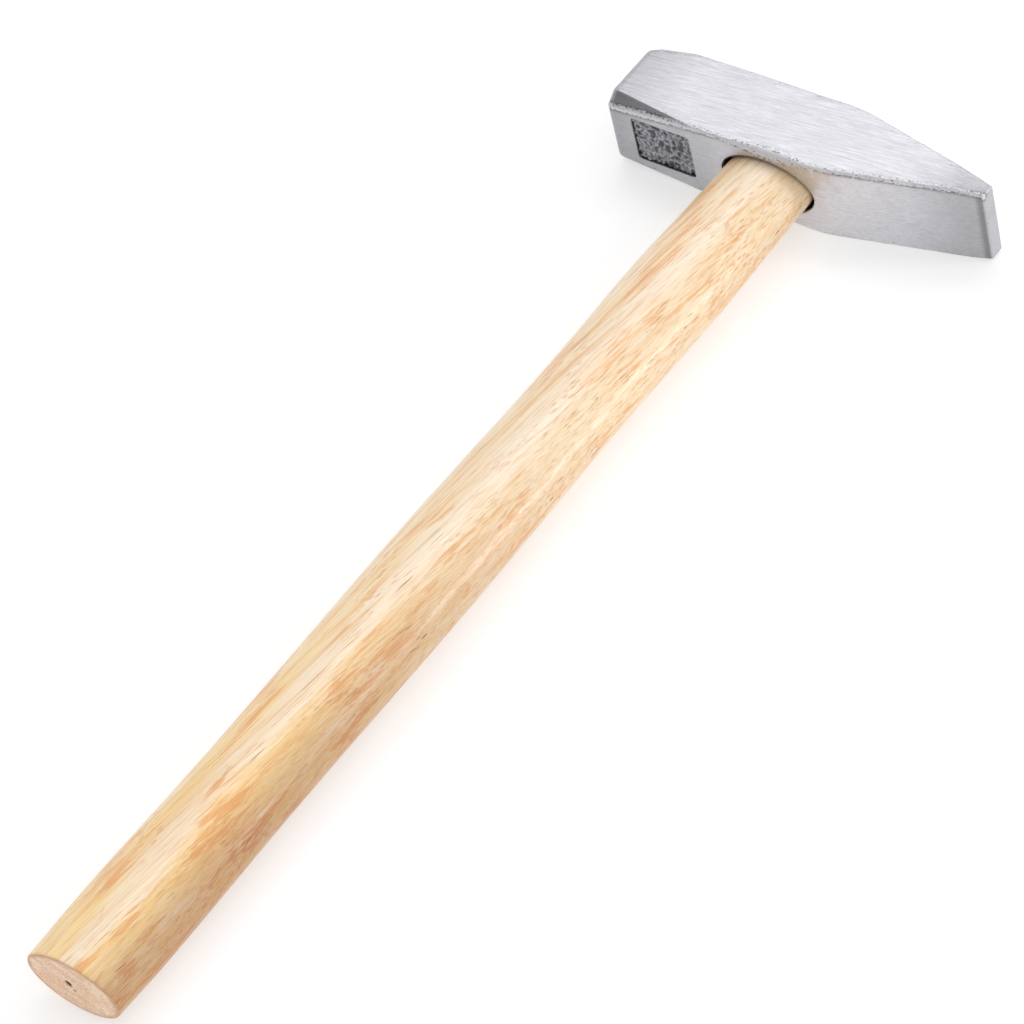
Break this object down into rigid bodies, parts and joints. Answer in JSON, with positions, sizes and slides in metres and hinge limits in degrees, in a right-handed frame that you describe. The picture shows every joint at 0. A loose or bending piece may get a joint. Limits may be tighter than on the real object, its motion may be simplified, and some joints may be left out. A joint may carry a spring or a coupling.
{
  "type": "cross-peen hammer",
  "caption": "Small engineer's cross-peen hammer: forged steel head with a square face and wedge peen, on an oval ash handle fixed by wedges.",
  "frame": {"origin": "on the lower cheek of the head, straight below the middle of the eye", "axes": "+X along the head from the striking face to the peen, +Y along the handle from the butt to the head, +Z from the lower cheek up to the upper one"},
  "size_m": [0.105, 0.297, 0.0221],
  "materials": {
    "forged_steel": "ground satin, worn along the edges",
    "ash_wood": "clear satin varnish over long grain",
    "wedge_wood": "bare end grain",
    "wedge_steel": "rolled, unpolished"
  },
  "bodies": {
    "root": {"head": "forged_steel", "handle": "ash_wood", "wood_wedge": "wedge_wood", "steel_wedge_face_end": "wedge_steel", "steel_wedge_peen_end": "wedge_steel"}
  },
  "joints": []
}
